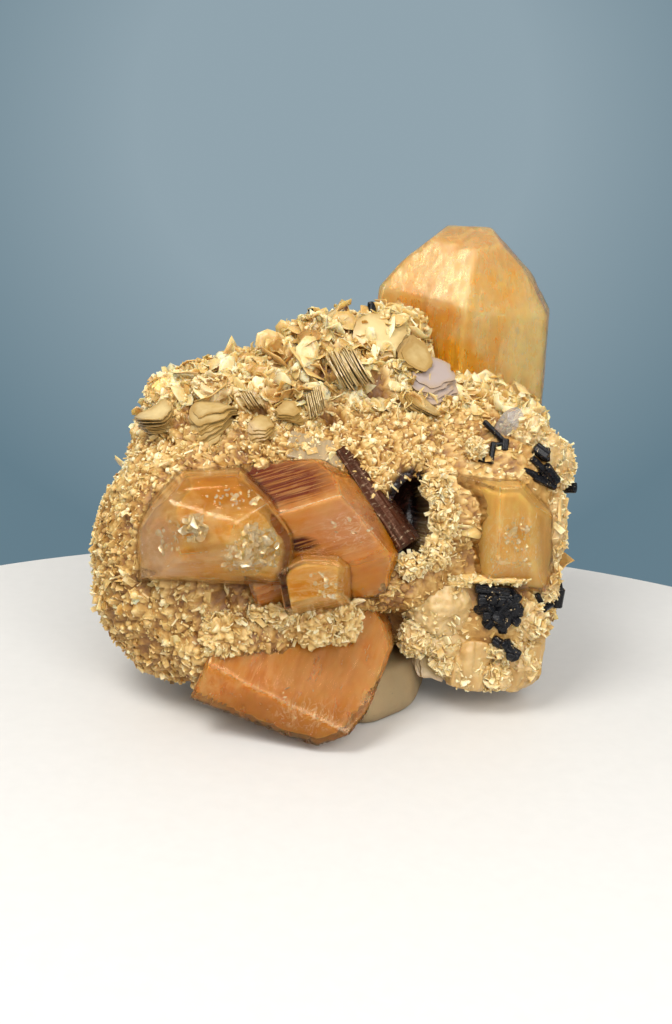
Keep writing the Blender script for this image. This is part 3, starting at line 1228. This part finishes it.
class SparklePiece(bpy.types.Operator):
    """Build the fractures and sparkles inside the topaz"""

    bl_idname = "mesh.topaz_sparkles"
    bl_label = "Fractures Inside"

    def execute(self, context):
        stops = ((0.35, (1.0, 0.80, 0.42)), (0.65, (1.0, 0.96, 0.84)))
        finish = plain_finish("fracture_finish", {"size": 0.8}, stops, (0.05, 0.3), Metallic=0.2)
        for seed, (crystal, count, place, radii, size, lie, spread) in enumerate(SPARKLES):
            draw = np.random.default_rng(800 + seed)
            places = unit(draw.normal(size=(count, 3))) * radii * draw.random((count, 1)) ** 0.4
            places = np.array(place) + places
            places = places[inside_crystal(crystal, places, -0.2)]
            axes = unit(np.array(lie) + spread * draw.normal(size=places.shape))
            sizes = size * np.exp(draw.normal(0.0, 0.4, len(places)))
            shape = petal_mesh(places, axes, sizes, draw, thin=0.03, bend=0.15)
            add_piece(f"{crystal}_fractures_{seed}", shape, finish, "topaz", smooth=False)
        return {"FINISHED"}


class QuartzPiece(bpy.types.Operator):
    """Build the smoky crystal and the clear point"""

    bl_idname = "mesh.topaz_quartz"
    bl_label = "Quartz"

    def execute(self, context):
        smoky = context.scene.topaz_small.smoky
        finish = Finish("smoky_finish", IOR=1.54, Specular_Tint=(1.0, 0.6, 0.4, 1.0))
        turn = crystal_turn("smoky")
        lines = finish.noise(0.5, 4.0, turn=turn, stretch=(1, 1, 12))
        steps = finish.noise(0.6, turn=turn, stretch=(4, 4, 1))
        flecks = finish.noise(0.45, 4.0, 0.7, turn=turn, stretch=(3, 3, 0.7))
        body = finish.ramp(lines, (0.3, darker(smoky, 0.3)), (0.7, smoky))
        finish.feed(
            Base_Color=finish.mix(finish.between(flecks, 0.0, 0.7, 0.60, 0.68), body, (0.50, 0.38, 0.24)),
            Roughness=finish.between(steps, 0.12, 0.4),
            Normal=finish.bump(finish.mix(0.5, lines, steps), 0.6, 0.3),
        )
        ribbed = {"ridge": 0.08, "ridge_size": 0.5, "wave": 0.1, "inset": 0.1}
        shape, rim = crystal_skin("smoky", SMALL_CUTS, seed=700, **ribbed)
        add_piece("smoky_crystal", shape, finish, "smoky_quartz", ("smoky_quartz",), rim=rim)
        stops, clear = ((0.3, (0.9, 0.86, 0.8)), (0.7, (1, 1, 1))), {"IOR": 1.55, "Transmission_Weight": 0.75}
        fog = {"size": 1.2, "detail": 4.0}
        finish = plain_finish("clear_quartz_finish", fog, stops, (0.04, 0.3), **clear)
        shape, rim = crystal_skin("point", POINT_CUTS, ridge=0.02, wave=0.02, wear=0.12, seed=740)
        add_piece("clear_point", shape, finish, "quartz", ("quartz_point",), rim=rim)
        return {"FINISHED"}


class LumpPiece(bpy.types.Operator):
    """Build the albite lump under the grains"""

    bl_idname = "mesh.topaz_lump"
    bl_label = "Albite Lump"

    def execute(self, context):
        shape, tint, pocket = lump_skin()
        finish = grain_finish("albite_bed", albite_stops(context.scene.topaz_lump), 0.5, 0.35, relief=0.7)
        sockets = finish.shader.inputs
        body, rough = (sockets[name].links[0].from_socket for name in ("Base Color", "Roughness"))
        dark = finish.mark("pocket")
        hole = finish.ramp(finish.noise(0.6), (0.50, (0.006, 0.002, 0.002)), (0.75, (0.06, 0.015, 0.01)))
        finish.feed(
            Base_Color=finish.mix(dark, body, hole), Roughness=finish.mix(dark, rough, (0.12, 0.12, 0.12))
        )
        add_piece("albite_lump", shape, finish, "albite", ("matrix",), tint=tint, pocket=pocket)
        return {"FINISHED"}


class GrainPiece(bpy.types.Operator):
    """Scatter the sugary grains over the lump"""

    bl_idname = "mesh.topaz_grains"
    bl_label = "Albite Grains"

    def execute(self, context):
        look = context.scene.topaz_lump
        finish = grain_finish("albite_sugar", albite_stops(look), 0.4, 0.4)
        # name, number, size, shapes, smooth
        kinds = (
            ("albite_grains", look.grains, look.grain, grain_shapes, True),
            ("albite_blades_left", look.blades // 2, look.blade, blade_shapes, False),
            ("albite_blades_right", look.blades // 2, look.blade, blade_shapes, False),
        )
        for seed, (name, count, size, shapes, smooth) in enumerate(kinds):
            places, normals, draw = lump_spots(count, 11 + seed)
            sizes = size * np.exp(draw.normal(0.0, 0.35, len(places)))
            lift = crust_relief(places) + draw.uniform(-0.5, 0.1, len(places)) * sizes
            places = places + normals * lift[:, None]
            shape, height = scattered(shapes, places, normals, sizes, draw)
            tint = 0.60 + 0.14 * draw.normal(size=len(places)) - crust_stain(places)
            tint = np.repeat(tint, len(height) // len(places)) + 0.28 * height
            add_piece(name, shape, finish, "albite", smooth=smooth, tint=np.clip(tint, 0.0, 1.0))
        return {"FINISHED"}


class PetalPiece(bpy.types.Operator):
    """Scatter the albite petals over the top of the lump"""

    bl_idname = "mesh.topaz_petals"
    bl_label = "Albite Petals"

    def execute(self, context):
        look = context.scene.topaz_lump
        places, normals, draw = lump_spots(look.petals * 4, 23, 0.3, 0.8)
        kept = np.flatnonzero(draw.random(len(places)) < 0.02 + 0.98 * flaky(places))[: look.petals]
        places, normals = places[kept], normals[kept]
        sizes = PETAL_SIZE * np.exp(draw.normal(0.0, 0.40, len(places)))
        axes = unit(0.5 * normals + 0.9 * draw.normal(size=places.shape))
        lift = crust_relief(places) + draw.uniform(-0.3, 0.5, len(places)) * sizes
        shape = petal_mesh(places + normals * lift[:, None], axes, sizes, draw)
        tint = np.clip(0.64 + 0.16 * draw.normal(size=len(places)), 0.0, 1.0)
        tint = np.repeat(tint, len(shape[0]) // len(places))
        finish = grain_finish("albite_petal", albite_stops(look), 0.3, 0.6, 1.2, 0.2)
        add_piece("albite_petals", shape, finish, "albite", tint=tint)
        return {"FINISHED"}


class MicaPiece(bpy.types.Operator):
    """Build the mica books and the lepidolite plates"""

    bl_idname = "mesh.topaz_mica"
    bl_label = "Mica Books"

    def execute(self, context):
        look = context.scene.topaz_small
        finish = mica_finish("mica_finish", look.mica_dark, look.mica)
        for seed, (name, (*shape, tone)) in enumerate(BOOKS.items()):
            shape, rim = book_mesh(name, *shape, 300 + seed)
            tint = 1.0 - tone - 0.4 * rim
            add_piece(f"{name}_book", shape, finish, "mica", (name,), smooth=False, tint=tint)
        shape, rim = book_mesh("lepidolite", *LEPIDOLITE, 350)
        finish = mica_finish("lepidolite_finish", look.mica_dark, look.lilac)
        tint = 0.8 - 0.3 * rim
        add_piece("lepidolite_plates", shape, finish, "lepidolite", ("lepidolite",), smooth=False, tint=tint)
        return {"FINISHED"}


def feldspar_finishes(lump, small, topaz):
    """Finishes of the feldspar, the yellow lump, the albite crust, the topaz lip and the cleavage plate."""
    creamy = [0.5 * (a + b) for a, b in zip(small.yellow, lump.white)]
    feldspar = ((0.1, lump.tan), (0.5, small.feldspar), (1.0, lump.white))
    yellow = ((0.2, small.yellow), (0.55, creamy), (0.9, lump.white))
    honey = ((0.3, topaz.amber_pale), (0.6, lump.cream), (0.9, lump.white))
    plate = ((0.3, darker(small.cleavage, 0.6)), (0.7, small.cleavage))
    streaks = {"size": 0.7, "detail": 4.0, "stretch": (1, 5, 5)}
    clear = {"IOR": 1.53, "Transmission_Weight": 0.5}
    return {
        "feldspar": grain_finish("feldspar_finish", feldspar, 0.35, 0.6, 0.8, 0.5),
        "feldspar_yellow": grain_finish("feldspar_yellow_finish", yellow, 0.25, 0.6, 1.2, 0.3),
        "albite": grain_finish("albite_crust_finish", albite_stops(lump), 0.45, 0.4),
        "topaz_pale": grain_finish("topaz_lip_finish", honey, 0.2, 0.6, 0.6, 0.3),
        "cleavage_plate": plain_finish("cleavage_finish", streaks, plate, (0.1, 0.35), **clear),
    }


# Cleaved blocks: crystal, solid, how uneven and how sharp its edges are
BLOCKS = (
    ("plate", "cleavage_plate", 0.08, 30.0),
    ("block", "feldspar_lower", 0.45, 10.0),
    ("corner", "feldspar_corner", 0.45, 10.0),
)


class FeldsparPiece(bpy.types.Operator):
    """Build the feldspar lumps, blocks and plates and the albite crusts"""

    bl_idname = "mesh.topaz_feldspar"
    bl_label = "Feldspar"

    def execute(self, context):
        scene = context.scene
        finishes = feldspar_finishes(scene.topaz_lump, scene.topaz_small, scene.topaz_look)
        for seed, (name, (slot, balls)) in enumerate({**NODULES, **OWN_LUMPS}.items()):
            parts = [nodule_skin(centre, radii, 400 + seed, CRUSTY[slot]) for centre, radii in balls]
            points, quads, tint = (np.concatenate(part) for part in zip(*parts))
            each = len(points) // len(balls)
            quads += np.repeat(each * np.arange(len(balls)), len(quads) // len(balls))[:, None]
            replaced = (name,) if name in NODULES else ()
            finish = finishes.get(name, finishes[slot])
            add_piece(f"{name}_lump", (points, [quads]), finish, slot, replaced, tint=tint)
            places, normals, draw = ball_spots(balls, BALL_BLADES[slot], 900 + seed)
            sizes = 0.34 * np.exp(draw.normal(0.0, 0.35, len(places)))
            shape, height = scattered(blade_shapes, places, normals, sizes, draw)
            tint = np.repeat(0.66 + 0.14 * draw.normal(size=len(places)), len(BLADE_POINTS)) + 0.25 * height
            tint = np.clip(tint, 0.0, 1.0)
            add_piece(f"{name}_blades", shape, finishes["albite"], slot, smooth=False, tint=tint)
        for seed, (name, solid, rough, sharp) in enumerate(BLOCKS):
            worn = {"ridge": 0.15, "wave": rough, "wear": 1.0, "sharp": sharp}
            shape, rim = crystal_skin(name, SMALL_CUTS, seed=500 + 30 * seed, **worn)
            tint = 0.40 + 0.2 * rough_noise(shape[0], 2.5, 510) + 0.05 * rim
            finish = finishes.get(solid, finishes["feldspar"])
            add_piece(f"{solid}_block", shape, finish, "feldspar", (solid,), tint=tint)
        return {"FINISHED"}


class SchorlPiece(bpy.types.Operator):
    """Build the black tourmaline"""

    bl_idname = "mesh.topaz_schorl"
    bl_label = "Black Tourmaline"

    def execute(self, context):
        black = context.scene.topaz_small.schorl
        finish = Finish("schorl_finish", IOR=1.4, Specular_IOR_Level=0.3)
        lines = finish.noise(0.3, 4.0, 0.7)
        specks = finish.between(finish.noise(0.5, 3.0, 0.7), 0.0, 0.9, 0.64, 0.70)
        body = finish.ramp(lines, (0.4, black), (0.8, darker(black, 4.0)))
        finish.feed(
            Base_Color=finish.mix(specks, body, (0.62, 0.45, 0.24)),
            Roughness=finish.between(lines, 0.08, 0.35, 0.3, 0.7),
            Normal=finish.bump(lines, 0.5, 0.1),
        )
        for seed, (name, needles) in enumerate(NEEDLES.items()):
            shape = needle_mesh(needles, 600 + seed)
            add_piece(f"{name}_prisms", shape, finish, "schorl", (name,), smooth=False)
        return {"FINISHED"}


class PuttyPiece(bpy.types.Operator):
    """Build the putty pad"""

    bl_idname = "mesh.topaz_putty"
    bl_label = "Putty Pad"

    def execute(self, context):
        putty = context.scene.topaz_small.putty
        heights, shares = np.array(PUTTY_PROFILE).T[:, :, None]
        angles = circle(PUTTY_AROUND)
        wave = 1.0 + 0.03 * np.sin(3.0 * angles + 0.6) + 0.02 * np.sin(7.0 * angles)
        points = ring_solids((wave * shares)[None], angles, heights, PUTTY_TOP, 0.0)[0]
        points[:, :2] = points[:, :2] * PUTTY_RADII + PUTTY_MIDDLE
        rings = points[1:-1]
        dents = 0.25 * rough_noise(rings, 3.0, 81) * smooth_step(rings[:, 2], 0.0, 1.5)
        rings[:, :2] += unit(rings[:, :2] - PUTTY_MIDDLE) * dents[:, None]
        faces = ring_faces(len(PUTTY_PROFILE), PUTTY_AROUND)
        finish = Finish("putty_finish", Subsurface_Weight=0.2, Subsurface_Scale=MM)
        specks = finish.between(finish.noise(0.35, 2.0), 0.0, 0.8, 0.70, 0.74)
        smears = finish.noise(4.0, 4.0)
        body = finish.ramp(smears, (0.3, darker(putty, 0.8)), (0.7, putty))
        finish.feed(
            Base_Color=finish.mix(specks, body, (0.08, 0.07, 0.06)),
            Roughness=finish.between(smears, 0.5, 0.8),
            Normal=finish.bump(smears, 0.5, 0.5),
        )
        add_piece("putty_pad", (points, faces), finish, "putty", ("display_putty",))
        return {"FINISHED"}


def area_lamp(name, place, size, power, tint):
    """A soft square lamp that points from its place to the specimen, both in millimetres."""
    lamp = bpy.data.lights.new(name, "AREA")
    lamp.shape = "SQUARE"
    lamp.size = size * MM
    lamp.energy = power
    lamp.color = tint
    thing = bpy.data.objects.new(name, lamp)
    turn = frames_on(np.array([place]) - np.array([LIGHT_TARGET]), np.zeros(1))[0]
    thing.matrix_world = Matrix.Translation(np.array(place) * MM) @ Matrix(turn.tolist()).to_4x4()
    bpy.context.scene.collection.objects.link(thing)


class StagePiece(bpy.types.Operator):
    """Set up the floor, the backdrop, the light and the camera"""

    bl_idname = "mesh.topaz_stage"
    bl_label = "Stage"

    def execute(self, context):
        look = context.scene.topaz_stage
        angles = circle(STAGE_AROUND)
        reach = np.array((0.25, 0.5, 0.75, 1.0, 1.0))[:, None] * FLOOR_RADIUS * np.ones(STAGE_AROUND)
        levels = FLOOR_TOP - FLOOR_DEPTH * np.array((0.0, 0.0, 0.0, 0.0, 1.0))[:, None]
        points = ring_solids(reach[None], angles, levels, FLOOR_TOP, -FLOOR_DEPTH)[0]
        points[:, :2] += FLOOR_CENTRE
        stops = ((0.3, darker(look.floor, 0.97)), (0.7, look.floor))
        finish = plain_finish("floor_finish", {"size": 2.0, "detail": 4.0}, stops, (0.45, 0.6))
        faces = ring_faces(len(reach), STAGE_AROUND)
        place_mesh("floor", points, faces, finish, smooth=False)

        reach = np.full((1, 2, STAGE_AROUND), WALL_RADIUS)
        points = ring_solids(reach, angles, np.array((WALL_HIGH, WALL_LOW))[:, None], 0.0, 0.0)[0, 1:-1]
        inwards = ring_faces(2, STAGE_AROUND)[0][:, ::-1] - 1
        finish = Finish("backdrop_finish")
        finish.tree.nodes.remove(finish.shader)
        sockets = {"Vector": finish.node("ShaderNodeTexCoord", {}, "Object"), "Scale": (MM, MM, MM)}
        sockets = {0: finish.node("ShaderNodeMapping", sockets, vector_type="TEXTURE"), 1: WALL_MIDDLE}
        away = finish.node("ShaderNodeVectorMath", sockets, "Value", operation="DISTANCE")
        share = finish.between(away, 0.0, 1.0, 0.0, WALL_FADE)
        shade = finish.ramp(share, (0.0, look.wall), (0.35, look.wall), (0.85, look.wall_edge))
        glow = finish.node("ShaderNodeEmission", {"Color": shade, "Strength": 1.0})
        finish.tree.links.new(glow, finish.tree.nodes["Material Output"].inputs["Surface"])
        place_mesh("backdrop", points, [inwards], finish)

        context.scene.world = bpy.data.worlds.new("studio")
        context.scene.world.use_nodes = True
        sky = context.scene.world.node_tree.nodes["Background"]
        sky.inputs["Color"].default_value = (1.0, 0.98, 0.95, 1.0)
        sky.inputs["Strength"].default_value = look.sky
        area_lamp("key_lamp", (-150.0, -180.0, 380.0), 180.0, look.key, (1.0, 0.97, 0.92))
        area_lamp("fill_lamp", (110.0, -340.0, 240.0), 240.0, look.fill, (1.0, 0.98, 0.95))
        lens = bpy.data.cameras.new("camera")
        lens.lens = CAMERA_LENS
        lens.clip_start = 0.01
        camera = bpy.data.objects.new("camera", lens)
        pitch = Matrix.Rotation(math.radians(90.0 - CAMERA_PITCH), 4, "X")
        roll = Matrix.Rotation(math.radians(CAMERA_ROLL), 4, "Z")
        camera.matrix_world = Matrix.Translation(np.array(CAMERA_PLACE) * MM) @ pitch @ roll
        context.scene.collection.objects.link(camera)
        context.scene.camera = camera
        context.scene.view_settings.view_transform = "Standard"
        return {"FINISHED"}


class TopazPanel(bpy.types.Panel):
    """Settings and build buttons of the topaz cluster"""

    bl_idname = "VIEW3D_PT_topaz"
    bl_label = "Topaz Cluster"
    bl_space_type = "VIEW_3D"
    bl_region_type = "UI"
    bl_category = "Topaz"

    def draw(self, context):
        for group in LOOKS:
            look = getattr(context.scene, group)
            for name in look.__annotations__:
                self.layout.prop(look, name)
        for operator in BUILDERS:
            self.layout.operator(operator.bl_idname)


LOOKS = {
    "topaz_look": TopazLook,
    "topaz_lump": LumpLook,
    "topaz_small": SmallLook,
    "topaz_stage": StageLook,
}
BUILDERS = (
    StagePiece, TopazPiece, SparklePiece, QuartzPiece, LumpPiece, GrainPiece, PetalPiece, MicaPiece,
    FeldsparPiece, SchorlPiece, PuttyPiece,
)
CLASSES = (*LOOKS.values(), *BUILDERS, TopazPanel)


def register():
    for kind in CLASSES:
        bpy.utils.register_class(kind)
    for name, kind in LOOKS.items():
        setattr(bpy.types.Scene, name, PointerProperty(type=kind))


def unregister():
    for name in LOOKS:
        delattr(bpy.types.Scene, name)
    for kind in reversed(CLASSES):
        bpy.utils.unregister_class(kind)


def main():
    register()
    for builder in BUILDERS:
        group, name = builder.bl_idname.split(".")
        getattr(getattr(bpy.ops, group), name)()
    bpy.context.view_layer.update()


if __name__ == "__main__":
    main()
